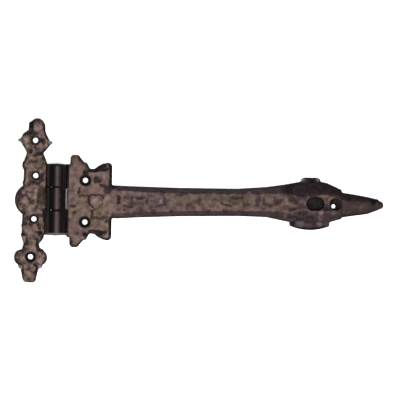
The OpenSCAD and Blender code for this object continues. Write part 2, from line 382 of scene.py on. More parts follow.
def on_face(places):
    """1 on the ornamental face and 0 from the back up to near it."""
    return ramp(places[:, 2], 1.4, 3)


def ornament(piece, places, petals, creases, pits):
    """Raises the petals and sinks the creases and pits; gives back what is deep, from 0 to 1."""
    line = near_lines(places, creases, 1.9)
    pit = near_spots(places, pits, 0.3)
    press(piece, "petals", near_spots(places, petals, 0.1) * on_face(places), -0.6)
    press(piece, "creases", line * on_face(places), 0.8)
    press(piece, "pits", pit * on_face(places), 0.6)
    return np.maximum(line, pit)


jamb_deep = ornament(jamb, jamb_soft, JAMB_PETALS, JAMB_CREASES, JAMB_PITS)

# %% Marks on the root plate, the strap and the spearhead
HEART = (32.7, 1.3)
HEART_LOBE_X = 2.6
HEART_EDGE = 3.4


def heart_line():
    """The groove round the raised heart: two arcs over its lobes that run down to its point."""
    x, y = HEART
    turns = [math.radians(a) for a in range(135, -1, -15)]
    lobe = x + HEART_LOBE_X
    right = [(lobe + HEART_EDGE * math.cos(a), y + HEART_EDGE * math.sin(a)) for a in turns]
    low = [(lobe + HEART_EDGE, y), (x + 5.5, y - 4.2), (x, y - 9.6)]
    left = [(2 * x - px, py) for px, py in right + low[1:]]
    return [(0.75, right), (0.35, low), (0.85, left)]


STRAP_PETALS = [
    (14, 33, 5, 1), (14, 2, 6, 1), (14.5, -18, 6, 1), (39.8, 18.6, 4.6, 1), (41.5, 1, 5, 1),
    (37, -20, 5, 1), (57, 0, 4.5, 1), (69, -2, 6, 1), (78, 0, 5, 0.8), (86, 0, 3.4, 1),
    (96, 0, 6, 0.7), (108, 0.5, 7, 0.7), (122, 0, 6, 0.7), (133, 0, 5, 0.7), (149, -1, 6, 1),
    (161, 1, 5.5, 1), (176, 2, 5.5, 1), (188, 1, 4, 1),
]
STRAP_CREASES = [
    (0.9, [(27, 24), (33, 24.2), (38, 25.4), (43, 26)]),
    (0.7, [(44.6, 27), (44.4, 13.4)]),
    (0.6, [(36.6, 12), (44.6, 11.6)]),
    (0.5, [(18.4, 9.4), (18.6, 6)]),
    (0.3, [(19.6, 3.2), (26, 3.2)]),
    (0.5, [(12.2, -5.2), (15.4, -4.8)]),
    (0.6, [(30.2, -9.4), (29.2, -14.4)]),
    (0.35, [(29.4, -14.4), (42, -14.4)]),
    (0.9, [(28, -25.4), (34.6, -26), (41, -26.8)]),
    (0.9, [(45, -16), (45, -31)]),
    (0.7, [(26, -32), (19, -36)]),
    (0.9, [(51.8, 3), (51.4, -1.6)]),
    (0.5, [(57.6, -4.6), (62, -4.4)]),
    (0.45, [(63, 3.4), (62.6, -2.4)]),
    (0.5, [(66, 2.4), (72.6, 2.4)]),
    (0.3, [(75.6, 1.6), (75.4, -2.4)]),
    (0.45, [(84, -4), (88.4, -3.8)]),
    (0.4, [(89.6, 3), (89.6, -3)]),
    (0.4, [(99.6, 5.6), (104.6, 5.8)]),
    (0.25, [(108, -2.6), (113, -3)]),
    (0.2, [(118.6, 2.6), (118.8, -1.6)]),
    (0.5, [(136.8, 0.4), (137.6, -1.8)]),
    (0.6, [(138, -2), (143.4, -3)]),
    (0.65, [(145, 4.2), (154, 3.6)]),
    (0.35, [(155.2, 3.4), (155, -3.6)]),
    (0.3, [(166, 4), (166, -2)]),
    (0.35, [(171.6, 4.4), (172.2, -1.6), (178, -2)]),
    (0.35, [(181, -1), (181, 5)]),
    (0.5, [(183.2, 2.8), (183.2, -0.4)]),
    (0.5, [(182.6, -8), (183, -12)]),
    (0.45, [(193.4, -5.6), (197.6, -4.8)]),
    (0.6, [(193, -11.4), (199, -12.4)]),
    (0.7, [(200.6, -14), (204.8, -13.2)]),
    (0.7, [(208.4, -11.2), (212.4, -12)]),
    (0.5, [(206, -15.2), (214, -15)]),
    (0.6, [(199, 7), (206, 7)]),
    (0.7, [(221.4, -4.2), (227, -4.2)]),
    (0.8, [(232.6, 0), (233, -4)]),
    (0.9, [(200, -20.4), (209, -21.2), (221, -19.8)]),
    (0.5, [(239, -9.4), (256, -7.8)]),
]
STRAP_PITS = [
    (32.6, 16.8, 3.4, 0.7), (34.8, 16, 3, 0.7), (24, 22.8, 3, 0.8), (14.3, -10.4, 2.2, 0.5),
    (36.4, -28, 2.4, 1), (24.4, -28.4, 3, 0.95), (19.2, 33.6, 2.4, 0.6), (12.6, -35.6, 2, 0.6),
    (15, -38, 2.6, 0.6), (19.6, -36.8, 2.4, 0.8), (18, -28, 2, 0.3), (42, 8.4, 4.8, 0.6),
    (38, 26.6, 2.6, 0.7), (44.6, 28, 2, 0.8), (36.6, -11.4, 2.2, 0.25), (41.6, -17.4, 2, 0.35),
    (56, -7.4, 1.6, 0.4), (79.2, -0.4, 2.2, 0.35), (70, -8.6, 2.6, 0.5), (64, -10, 2.2, 0.6),
    (80.4, -9.2, 3.4, 0.6), (95, -8.6, 2.6, 0.5), (126, -8.6, 3, 0.5), (140, -8.6, 3.4, 0.5),
    (156, -9, 4, 0.4), (168, 2.6, 2.4, 0.4), (194.8, 2.6, 3.4, 0.45), (197.8, 1, 3.4, 0.5),
    (205.4, -8, 3.4, 0.5), (242, 3.4, 3, 0.7), (195.8, -17.4, 3.6, 1), (214, -17.6, 2.6, 0.6),
    (262.6, 2, 3.6, 1), (211, 19.6, 3.6, 1), (52.6, 8, 2.4, 0.3), (88, 7.6, 3.6, 0.5),
    (40, 27.6, 2.6, 0.7), (36, 26.8, 2.4, 0.7), (202, -8.6, 2.2, 0.6), (224, -4.4, 2.4, 0.8),
    (227, -11, 2.4, 0.3), (234, -10, 2.4, 0.3),
]
# pale lines and spots: partly rubbed spots, partly painted highlights, such as the ridge along the top of the
# spear's recess
STRAP_PALE_LINES = [
    (0.9, [(191, 4), (191, -1)]), (1, [(216, 6.3), (234.6, 6.2)]), (0.9, [(225.6, 3.6), (225.6, -0.6)]),
    (0.8, [(100, 8.6), (106.4, 8.6)]), (0.6, [(19.6, 13.4), (21.4, 11.2), (25, 10.6)]),
]
STRAP_PALE_SPOTS = [
    (219, -8.2, 2.6, 1.6), (229.8, -8, 2.4, 1), (218.4, -17.4, 2.4, 1), (195.2, -8.8, 2.2, 0.9),
    (204, -17.2, 3, 0.5), (204.4, 19.6, 2.2, 1.2), (217.2, 19.6, 2.2, 1.2), (222.6, 6.4, 2.4, 0.9),
    (32, 21.4, 2.4, 0.5), (40, 19, 3.6, 0.6), (42, 29.4, 1.8, 1), (42.2, -29.4, 2, 1),
    (43, 1.4, 3.6, 0.7), (37.4, -19, 3, 0.6), (32.7, -0.4, 5, 0.75), (69.4, 4.8, 2.4, 0.9),
    (86.6, 0, 2.2, 0.9), (60, 1, 2, 0.5), (137, -5.2, 2, 0.5), (223.4, 10.4, 3.4, 0.4),
    (252.4, -3, 4, 0.6), (242, -6.8, 2.2, 0.7), (188, 1.6, 3, 0.4), (203.6, 3, 3.4, 0.4),
    (88, -9, 2.4, 0.6),
]
strap_deep = ornament(strap, strap_soft, STRAP_PETALS, STRAP_CREASES, STRAP_PITS)
heart_groove = near_lines(strap_soft * 0.5 + strap_xyz * 0.5, heart_line(), 1.2)
press(strap, "heart", heart_groove * on_face(strap_xyz), 0.6)
strap_deep = np.maximum(strap_deep, 0.65 * heart_groove)
print("ornament done")

# %% [markdown]
# ## Hammer marks
# Displace can read one of Blender's procedural textures. Clouds give the uneven face of a sand
# casting, and a Voronoi pattern gives the shallow facets of a hammer. Both follow a group that holds
# the ornamental face alone, so the barrel, the holes and the back stay true.


# %% Hammered faces
def hammer(piece, kind, size, strength):
    """Moves the face up and down by a procedural pattern of that size, both in millimetres."""
    pattern = bpy.data.textures.new(piece.name + "_" + kind.lower(), kind)
    pattern.noise_scale = size * MM
    blows = piece.modifiers.new(kind.lower() + " marks", "DISPLACE")
    blows.texture = pattern
    blows.texture_coords = "LOCAL"
    blows.mid_level = 0.5
    blows.strength = strength * MM
    blows.vertex_group = "face"


for piece, places, facing, barrel, holes in (
    (jamb, jamb_xyz, jamb_out, jamb_barrel, jamb_holes),
    (strap, strap_xyz, strap_out, strap_barrel, strap_holes),
):
    face = ramp(facing[:, 2], 0.3, 0.8) * ramp(places[:, 2], 1.5, 3) * (1 - barrel)
    keep_weight(piece, "face", face * (1 - 0.8 * near_spots(places, holes)))
    hammer(piece, "CLOUDS", 4.5, 0.9)
    hammer(piece, "VORONOI", 5.5, 0.8)
print("hammered")

# %% [markdown]
# ## The pin
# The pin is turned steel. Its two ends are hammered over into shallow cones, so that it can't slide
# out. A turned shape is a profile that the Screw modifier spins: the profile runs from top to
# bottom at +X, so that its faces point out. It is spun about Z at the world's origin and then laid
# along Y at the pin's place.

# %% Pin
PIN_R = 3.5
PEEN_H = 1.2
PEEN_R = PIN_R + PEEN_H
pin_half = (pin_high.y - pin_low.y) / 2 / MM
end_profile = [
    (0, pin_half), (0.4 * PIN_R, pin_half - 0.03), (0.75 * PIN_R, pin_half - 0.12),
    (PEEN_R - 0.5, BARREL_HALF + 0.12), (PEEN_R, BARREL_HALF - 0.05), (PIN_R, BARREL_HALF - PEEN_H),
]
profile = end_profile + [(r, -z) for r, z in reversed(end_profile)]
pin_mesh = bpy.data.meshes.new("pin")
pin_mesh.from_pydata(
    [(r * MM, 0, z * MM) for r, z in profile], [(i, i + 1) for i in range(len(profile) - 1)], []
)
pin = bpy.data.objects.new("peened_pin", pin_mesh)
bpy.context.scene.collection.objects.link(pin)
turn = pin.modifiers.new("turned", "SCREW")
turn.steps = turn.render_steps = 64
turn.use_merge_vertices = True
turn.merge_threshold = 0.001 * MM
turn.use_normal_calculate = True
turn.use_smooth_shade = True
edges = pin.modifiers.new("soft edges", "BEVEL")
edges.width = 0.15 * MM
edges.segments = 2
apply_stack(pin)
pin.data.transform(Matrix.Translation(PIN_AXIS) @ Matrix.Rotation(math.radians(90), 4, "X"))
print("pin", len(pin.data.polygons), "faces")

# %% [markdown]
# ## How far each place is rubbed, with painted light and shade
# The finish was brushed on black and rubbed back while it was soft, so high faces are brown and grooves
# keep black lacquer. The tone also holds painted light and shade: faces that look up are lighter and
# slopes darker, as under the overhead light, slopes to -Y are lighter than slopes to +Y, grooves and pits
# are darkened further as painted shade, the screw rings, the spearhead's recesses and the valley beside
# the barrel are painted shade, and a painted highlight runs along the barrel. The look "tone" holds that
# as one number, from 0 for black to 1 for bare brown. The looks "olive" and "mauve" hold the patches where
# the rubbing left a greener or a redder brown, "bare" the few high tips where grey iron shows, and
# "lacquer" is 1 on the barrel, where the smooth lacquer was never rubbed. On the strap, "mauve" and "bare"
# also hold a painted highlight on the barrel's lower end and pale painted light on the lip of the slot.


# %% The tone that a shape takes
BARREL_LIGHT = math.radians(15)
FLAT_TONE = 0.7
# how dark the painted shade in the countersunk rings round the screw holes is
HOLE_RING_SHADE = 0.93
BACK_TONE = 0.3
BACK_MAUVE = 0.4


def tone_of(places, facing, rim, deep, barrel):
    """The tone that the shape alone gives, with painted light and shade in it: lit flats, side-lit slopes, shaded
    rims and hollows and a painted highlight along the barrel.
    """
    patchy = uneven(places, 5, 3.7)
    # painted light: faces that look up are lighter, as under the overhead light, on top of their rubbed brown
    up = ramp(facing[:, 2] + 0.3 * (patchy - 0.5), 0.8, 0.97)
    upper_side, lower_side = ramp(facing[:, 1], 0.15, 0.6), ramp(-facing[:, 1], 0.15, 0.6)
    # painted light and shade: slopes to -Y are lighter and slopes to +Y darker, as the light leans in from -Y
    slope_light_and_shade = 0.37 - 0.03 * upper_side + 0.05 * lower_side
    tone = slope_light_and_shade + (FLAT_TONE - slope_light_and_shade) * up
    # rims darkened, partly black lacquer and partly painted shade, less on the slopes lit from -Y
    rim_lacquer_and_shade = (0.15 + 0.9 * ramp(patchy, 0.3, 0.75)) * (0.75 - 0.2 * lower_side)
    tone *= 1 - ramp(rim, 0.1, 0.75) * rim_lacquer_and_shade
    # creases and pits darkened, partly black lacquer left in them and partly painted shade
    tone *= 1 - np.clip(1.1 * deep * (0.7 + 0.5 * uneven(places, 2, 5.1)), 0, 0.97)
    # painted highlight along the barrel's top, leaning towards the light by BARREL_LIGHT
    light = facing @ np.array([math.sin(BARREL_LIGHT), 0, math.cos(BARREL_LIGHT)])
    painted_barrel_highlight = 0.035 + 0.21 * ramp(light, 0.95, 0.985)
    return tone * (1 - barrel) + painted_barrel_highlight * barrel


def back_of(places, facing, barrel):
    """1 on the flat back, which lies against the door and was only blackened."""
    return ramp(-facing[:, 2], 0.5, 0.8) * ramp(places[:, 2], 1, 0.5) * (1 - barrel)


def in_slot(places, slot, lying, grow):
    """1 inside a slot (x, y, radius, half length), lying along x or upright, grown by that much."""
    x, y, r, half = slot
    offset = np.abs(places[:, :2] - (x, y))
    along_slot, across_slot = offset.T if lying else offset.T[::-1]
    gap = np.hypot(np.maximum(along_slot - half, 0), across_slot) - r
    return ramp(gap, grow, grow - 0.8)


# %% Looks of the jamb leaf
# each patch is (x, y, radius, strength)
JAMB_DIM = [
    (-32, -3, 5.4, 0.35), (-30.6, 7, 4.4, 0.3), (-26.6, -9.6, 4, 0.25), (-11, -41.6, 3, 0.3),
    (-20, 3, 10, 0.13), (-12, -47, 4, 0.12),
]
JAMB_OLIVE = [
    (-25.6, 49, 5, 0.8), (-16, 58, 3, 0.8), (-22, 40, 3, 1), (-18, 33, 4, 0.7), (-20, -37, 5, 1),
    (-21, -61, 5, 0.8), (-32, -50, 3, 1), (-21, -3, 4, 0.8), (-11, -20, 4, 0.8), (-23, -66, 3, 1),
]
JAMB_MAUVE = [
    (-18.6, 53.6, 4, 1), (-13, 61, 3, 0.8), (-13.6, 38, 3.4, 1), (-28, 0, 7, 0.9), (-22, 8, 6, 0.7),
    (-21, -19, 5, 1), (-15.6, -58, 3, 1), (-28, 53.6, 3, 0.8), (-7, 46, 4, 0.6), (-27, -57, 3, 0.9),
]
JAMB_BARE = [
    (-31.8, 48.8, 3, 1), (-4.4, 46.8, 3, 1), (-29.4, -56.8, 2.6, 0.9), (-12, -56.6, 2.6, 0.9),
    (-9.2, -43.4, 2.6, 0.35), (-16.6, 57, 2, 0.3), (-25.4, 50, 2.6, 0.25),
]
# painted shade in the countersunk rings round the jamb leaf's screw holes
jamb_hole_shade = [(*upper_hole, 3.6, 1), (*lower_hole, 5.2, 1)] + [(*hole, 3.8, 1) for hole in inner_holes]

jamb_tone = tone_of(jamb_xyz, jamb_out, jamb_rim, jamb_deep, jamb_barrel)
by_holes = near_spots(jamb_xyz, jamb_holes, 0.7) * ramp(jamb_out[:, 2], 0.5, 0.65)
jamb_tone = np.maximum(jamb_tone, 0.45 * by_holes)
jamb_tone *= 1 - HOLE_RING_SHADE * near_spots(jamb_xyz, jamb_hole_shade, 0.7)
# lighter where the pale marks are: rubbed spots and painted highlights
jamb_pale = near_lines(jamb_soft, JAMB_PALE_LINES, 1.6) + near_spots(jamb_soft, JAMB_PALE_SPOTS, 0.2)
jamb_tone += 0.2 * jamb_pale
beside_barrel = ramp(np.abs(jamb_xyz[:, 1] - 23), 13, 9)
left_rim = ramp(jamb_gap, JAMB_RIM_WIDTH, 1) * ramp(-jamb_xyz[:, 0], 24, 25.4) * beside_barrel
jamb_tone *= 1 - 0.5 * left_rim
jamb_tone *= 1 - near_spots(jamb_soft, JAMB_DIM, 0.2)
olive_square = ramp(np.abs(jamb_xyz[:, 0] + 12.4), 4.2, 2.6)
olive_square *= ramp(np.abs(jamb_xyz[:, 1] - 2.8), 8.4, 5.6)
jamb_tone *= 1 - 0.46 * olive_square * (1 - jamb_barrel)

jamb_back = back_of(jamb_xyz, jamb_out, jamb_barrel)
keep_look(jamb, "tone", jamb_tone, jamb_back, BACK_TONE)
keep_look(jamb, "olive", np.maximum(olive_square, near_spots(jamb_soft, JAMB_OLIVE, 0.3)), jamb_back)
keep_look(jamb, "mauve", near_spots(jamb_soft, JAMB_MAUVE, 0.3), jamb_back, BACK_MAUVE)
keep_look(jamb, "bare", near_spots(jamb_soft, JAMB_BARE, 0.5), jamb_back)
keep_look(jamb, "lacquer", jamb_barrel)
print("jamb leaf's mean tone", round(float(jamb_tone.mean()), 3))

# %% Looks of the strap leaf
STRAP_DIM = [
    (202, -3, 4.6, 0.3), (224.4, 1, 4.4, 0.32), (223.4, -3, 3.4, 0.25), (202, 6, 5, 0.22),
    (206, 4.6, 3, 0.2), (191, 11, 8, 0.35),
]
STRAP_OLIVE = [
    (23.6, 23, 3.6, 1), (18.6, 11, 5, 0.8), (33, 16.6, 3, 0.9), (41, -18, 4, 1), (51.4, 1, 3, 0.9),
    (60, 1, 3, 0.8), (60, -4.6, 3, 0.8), (77, 0, 4.5, 0.8), (95, 0, 6, 0.6), (138, -1, 4, 0.8),
    (158, 0, 5, 0.6), (177, 3, 5, 1), (187, 1, 4, 0.8), (196, 1.8, 5, 1), (216, -12, 4, 0.9),
    (219, -8.2, 3, 0.6), (189, 10, 7, 0.8), (50, 8.4, 3, 0.8), (197, -17, 5, 1), (88, -9, 3, 0.8),
]
STRAP_MAUVE = [
    (40, 10, 5, 1), (44, 6, 4, 1), (24.4, -28.4, 4, 1), (40, 19, 4, 0.8), (32.6, -1, 5, 0.8),
    (14, 20, 6, 0.6), (15, -20, 7, 0.9), (20, -30, 4, 0.7), (13, -34, 4, 0.7), (33, 1, 5, 0.9),
    (224, 1, 4.6, 0.9), (223, -3, 3.6, 0.8), (55, 0, 3, 0.8), (70, -5, 5, 0.8), (81, -9, 4, 1),
    (104, 6, 4, 0.8), (152, -9, 6, 1), (203, 2, 5, 1), (205, -7, 5, 1), (243, -5, 5, 1),
    (252, -2, 5, 0.9), (240, 4, 4, 1), (199, -4, 3, 1), (210, -19, 4, 0.7), (251, 3, 6, 0.8),
    (264, -1, 6, 0.7), (230, 12, 6, 0.8), (206, 11, 7, 0.8),
]
STRAP_BARE = [
    (203, -17, 4, 0.22), (218.4, -17.6, 3, 0.35), (230.4, -8, 3, 0.22), (204.2, 19.8, 2.6, 0.6),
    (217.2, 19.8, 2.6, 0.6), (42, 29.6, 2.4, 0.25), (42, -29.4, 2.6, 0.35), (223, 1.6, 2.8, 0.2),
]
# painted shade along the lance's upper edge
LANCE_UPPER_SHADE = [(1, [(236, 8.4), (250, 5.4), (268, 2.6)])]
# painted shade in the countersunk rings round the root plate's screw holes
root_hole_shade = [(*hole, 5.6, 1) for hole in root_holes]
on_bar = stretch(along, 48, 53, 186, 192)

# the root plate
strap_tone = tone_of(strap_xyz, strap_out, strap_rim, strap_deep * (1 - 0.25 * on_bar), strap_barrel)
# the root plate's rims darkened more, partly lacquer and partly painted shade
strap_tone *= 1 - 0.5 * ramp(strap_rim, 0.05, 0.5) * stretch(along, 25.5, 28, 47, 50)
near_wing = ramp(along, 24, 20) * (1 - strap_barrel) * ramp(strap_out[:, 2], 0.8, 0.97)
strap_tone = np.maximum(strap_tone, 0.6 * near_wing * (1 - strap_deep))
# painted shade in the narrow valley between the barrel and the strap leaf
strap_tone *= 1 - 0.85 * ramp(along, 10.8, 9.8) * (1 - strap_barrel)
strap_tone *= 1 - HOLE_RING_SHADE * near_spots(strap_xyz, root_hole_shade, 0.75)

# painted shade inside the two recesses of the spearhead, the first with a ragged edge
ragged = 0.4 * strap_xyz + 0.6 * strap_soft
shifted = strap_xyz + [0.9, 0, 0]
recess_shade = np.maximum(in_slot(ragged, SPEAR_OVAL, True, 0.7), in_slot(shifted, SPEAR_POCKET, False, 0.3))
strap_tone *= 1 - np.clip(recess_shade * (0.66 + 0.52 * uneven(strap_xyz, 3, 8.2)), 0, 1)

# pale marks, partly rubbed spots and partly painted highlights on ridges, then painted shade: darker towards the
# tip, along the lance's upper edge and on the spearhead's upper side
strap_pale = near_lines(strap_soft, STRAP_PALE_LINES, 1.4) + near_spots(strap_soft, STRAP_PALE_SPOTS, 0.2)
not_pale = 1 - np.clip(strap_pale, 0, 1)
strap_tone += 0.22 * strap_pale
strap_tone *= 1 - 0.5 * near_lines(strap_xyz, LANCE_UPPER_SHADE, 4)
shade_towards_tip = ramp(along, 40, 70) * 0.12 + ramp(along, 180, 205) * 0.14 + ramp(along, 225, 245) * 0.16
strap_tone *= 1 - shade_towards_tip
spear_upper_shade = stretch(along, 172, 190, 236, 240) * ramp(strap_soft[:, 1], 7, 8.8)
strap_tone *= 1 - 0.55 * spear_upper_shade * (0.5 + 0.5 * not_pale)
# painted shade on the low thin plate under the spearhead, which is also left unrubbed
thin_plate = stretch(along, 190, 193, 226, 230) * ramp(height, 3.2, 2.4) * ramp(-across, 12, 15)
strap_tone *= 1 - 0.12 * thin_plate
# painted light and shade on the strap's bevels: the upper one lighter, the lower one darker towards the spear
lit_upper_bevel, shaded_lower_bevel = ramp(across, 6.4, 8) * on_bar, ramp(-across, 6.6, 8) * on_bar
strap_tone *= 1 + 0.18 * lit_upper_bevel - 0.16 * shaded_lower_bevel * ramp(along, 100, 140)
strap_tone *= 1 - near_spots(strap_soft, STRAP_DIM, 0.3) * not_pale

# a painted highlight on the lower end of the barrel, and painted light on the lip of the slot: pale lavender-grey
# like the shaded floor seen through it
barrel_end_highlight = ramp(-across, BARREL_HALF - 2.3, BARREL_HALF - 1.8) * strap_barrel
strap_tone += 0.5 * barrel_end_highlight
slot_lip_painted_light = slot_side * ramp(along, 10.9, 10.1)

strap_olive = near_spots(strap_soft, STRAP_OLIVE, 0.2) * (1 - 0.3 * on_bar)
bar_sides = ramp(np.abs(across), 6.4, 8.4) * ramp(along, 46, 50)
strap_mauve = np.maximum(near_spots(strap_soft, STRAP_MAUVE, 0.2), bar_sides)
strap_bare_and_highlight = np.maximum(near_spots(strap_soft, STRAP_BARE, 0.1), 0.35 * barrel_end_highlight + 0.07 * lit_upper_bevel)
strap_back = back_of(strap_xyz, strap_out, strap_barrel)
# on the strap, "mauve" and "bare" also carry the painted highlight on the barrel's end and the painted light on
# the slot's lip, and "lacquer" stops at that highlight
keep_look(strap, "tone", strap_tone, strap_back, BACK_TONE)
keep_look(strap, "olive", strap_olive, strap_back)
keep_look(strap, "mauve", np.maximum(strap_mauve, barrel_end_highlight + slot_lip_painted_light), strap_back, BACK_MAUVE)
keep_look(strap, "bare", np.maximum(strap_bare_and_highlight, 0.34 * slot_lip_painted_light), strap_back)
keep_look(strap, "lacquer", strap_barrel * (1 - barrel_end_highlight))
print("strap leaf's mean tone", round(float(strap_tone.mean()), 3))

# %% Looks of the pin
for name, value in (("tone", 0.3), ("olive", 0), ("mauve", 0.5), ("bare", 0), ("lacquer", 1)):
    keep_look(pin, name, np.full(len(pin.data.vertices), value))
print("pin's looks done")

# %% [markdown]
# ## The finish
# The whole hinge has one antique finish: a brown-black lacquer over rough iron, whose colour also carries
# the painted light and shade held in the looks. One function makes it, and is called once for each piece,
# with more mottle on the jamb leaf. Its nodes are in four frames: "how far it is rubbed" breaks the tone,
# rubbing and painted light and shade together, up with dabs of mottle, "browns" turns that into colour,
# drifts between mauve and olive and shows grey iron on the bare tips and on the painted highlights, "gloss"
# makes the barrel's lacquer shinier than the dull castings, and "sand of the mould" gives the fine relief.


# %% Antique iron
def antique_iron(name, mottle_by, roughness, grain):
    """Brown-black lacquer on iron, brown where the attribute tone is high; that tone holds both the rubbing and
    painted light and shade.
    """
    m = bpy.data.materials.new(name)
    m.use_nodes = True
    tree = m.node_tree
    tree.nodes.clear()

    # the tone in this frame holds painted light and shade as well as how far the place is rubbed
    rubbing = tree.nodes.new("NodeFrame")
    rubbing.label = "how far it is rubbed"
    browns = tree.nodes.new("NodeFrame")
    browns.label = "browns"
    sheen = tree.nodes.new("NodeFrame")
    sheen.label = "gloss"
    relief = tree.nodes.new("NodeFrame")
    relief.label = "sand of the mould"

    where = tree.nodes.new("ShaderNodeTexCoord")
    where.label = "place on the casting"
    where.location = (-1500, 0)

    tone = tree.nodes.new("ShaderNodeAttribute")
    tone.label = "tone painted from the shape"
    tone.location = (-1250, 500)
    tone.parent = rubbing
    tone.attribute_name = "tone"
    dabs = tree.nodes.new("ShaderNodeTexNoise")
    dabs.label = "dabs of the rubbing cloth"
    dabs.location = (-1250, 300)
    dabs.parent = rubbing
    dabs.inputs["Scale"].default_value = 210
    dabs.inputs["Detail"].default_value = 2
    dabs.inputs["Roughness"].default_value = 0.5
    dab_size = tree.nodes.new("ShaderNodeMapRange")
    dab_size.label = "dabs, lighter and darker"
    dab_size.location = (-1000, 300)
    dab_size.parent = rubbing
    dab_size.inputs["From Min"].default_value = 0.34
    dab_size.inputs["From Max"].default_value = 0.66
    dab_size.inputs["To Min"].default_value = 1 - mottle_by
    dab_size.inputs["To Max"].default_value = 1 + mottle_by
    rubbed = tree.nodes.new("ShaderNodeMath")
    rubbed.label = "tone, broken up"
    rubbed.location = (-780, 420)
    rubbed.parent = rubbing
    rubbed.operation = "MULTIPLY"
    tree.links.new(where.outputs["Object"], dabs.inputs["Vector"])
    tree.links.new(dabs.outputs["Fac"], dab_size.inputs["Value"])
    tree.links.new(tone.outputs["Fac"], rubbed.inputs[0])
    tree.links.new(dab_size.outputs["Result"], rubbed.inputs[1])

    mauve = tree.nodes.new("ShaderNodeValToRGB")
    mauve.label = "black lacquer to mauve brown"
    mauve.location = (-500, 560)
    mauve.parent = browns
    green = tree.nodes.new("ShaderNodeValToRGB")
    green.label = "black lacquer to olive brown"
    green.location = (-500, 320)
    green.parent = browns
    for shades, middle, full in (
        (mauve, (0.045, 0.027, 0.0285), (0.235, 0.148, 0.138)),
        (green, (0.0455, 0.0292, 0.0185), (0.213, 0.16, 0.113)),
    ):
        shades.color_ramp.elements[0].color = (0.0045, 0.0032, 0.0042, 1)
        shades.color_ramp.elements[1].color = (*full, 1)
        half_way = shades.color_ramp.elements.new(0.45)
        half_way.color = (*middle, 1)
    drift = tree.nodes.new("ShaderNodeTexNoise")
    drift.label = "slow drift of the browns"
    drift.location = (-780, 100)
    drift.parent = browns
    drift.inputs["Scale"].default_value = 83
    drift.inputs["Detail"].default_value = 2
    patch = tree.nodes.new("ShaderNodeAttribute")
    patch.label = "olive patches"
    patch.location = (-780, -80)
    patch.parent = browns
    patch.attribute_name = "olive"
    drift_size = tree.nodes.new("ShaderNodeMapRange")
    drift_size.label = "mauve or olive"
    drift_size.location = (-560, 60)
    drift_size.parent = browns
    drift_size.inputs["From Min"].default_value = 0.35
    drift_size.inputs["From Max"].default_value = 0.65
    drift_size.inputs["To Min"].default_value = 0.12
    drift_size.inputs["To Max"].default_value = 0.72
    greener = tree.nodes.new("ShaderNodeMath")
    greener.label = "drift and olive patches"
    greener.location = (-360, 60)
    greener.parent = browns
    greener.operation = "MAXIMUM"
    blush = tree.nodes.new("ShaderNodeAttribute")
    blush.label = "mauve patches"
    blush.location = (-560, -160)
    blush.parent = browns
    blush.attribute_name = "mauve"
    redder = tree.nodes.new("ShaderNodeMath")
    redder.label = "less olive in mauve patches"
    redder.location = (-180, 60)
    redder.parent = browns
    redder.operation = "SUBTRACT"
    redder.use_clamp = True
    colour = tree.nodes.new("ShaderNodeMix")
    colour.label = "the two browns mixed"
    colour.location = (-160, 420)
    colour.parent = browns
    colour.data_type = "RGBA"
    tree.links.new(rubbed.outputs["Value"], mauve.inputs["Fac"])
    tree.links.new(rubbed.outputs["Value"], green.inputs["Fac"])
    tree.links.new(where.outputs["Object"], drift.inputs["Vector"])
    tree.links.new(drift.outputs["Fac"], drift_size.inputs["Value"])
    tree.links.new(drift_size.outputs["Result"], greener.inputs[0])
    tree.links.new(patch.outputs["Fac"], greener.inputs[1])
    tree.links.new(greener.outputs["Value"], redder.inputs[0])
    tree.links.new(blush.outputs["Fac"], redder.inputs[1])
    tree.links.new(redder.outputs["Value"], colour.inputs["Factor"])
    tree.links.new(mauve.outputs["Color"], colour.inputs[6])
    tree.links.new(green.outputs["Color"], colour.inputs[7])

    # the look "bare" also holds the strap's painted highlights, so this grey shows them too
    grey_tips_and_highlights = tree.nodes.new("ShaderNodeAttribute")
    grey_tips_and_highlights.label = "rubbed through to the iron"
    grey_tips_and_highlights.location = (-160, 640)
    grey_tips_and_highlights.parent = browns
    grey_tips_and_highlights.attribute_name = "bare"
    grey = tree.nodes.new("ShaderNodeMix")
    grey.label = "bare grey iron on the tips"
    grey.location = (60, 520)
    grey.parent = browns
    grey.data_type = "RGBA"
    grey.inputs[7].default_value = (0.17, 0.165, 0.18, 1)
    tree.links.new(grey_tips_and_highlights.outputs["Fac"], grey.inputs["Factor"])
    tree.links.new(colour.outputs[2], grey.inputs[6])

    lacquer = tree.nodes.new("ShaderNodeAttribute")
    lacquer.label = "smooth lacquer on the barrel"
    lacquer.location = (-360, -120)
    lacquer.parent = sheen
    lacquer.attribute_name = "lacquer"
    gloss = tree.nodes.new("ShaderNodeMapRange")
    gloss.label = "dull casting, shiny lacquer"
    gloss.location = (-160, 140)
    gloss.parent = sheen
    gloss.inputs["To Min"].default_value = roughness + 0.3
    gloss.inputs["To Max"].default_value = roughness
    tree.links.new(lacquer.outputs["Fac"], gloss.inputs["Value"])

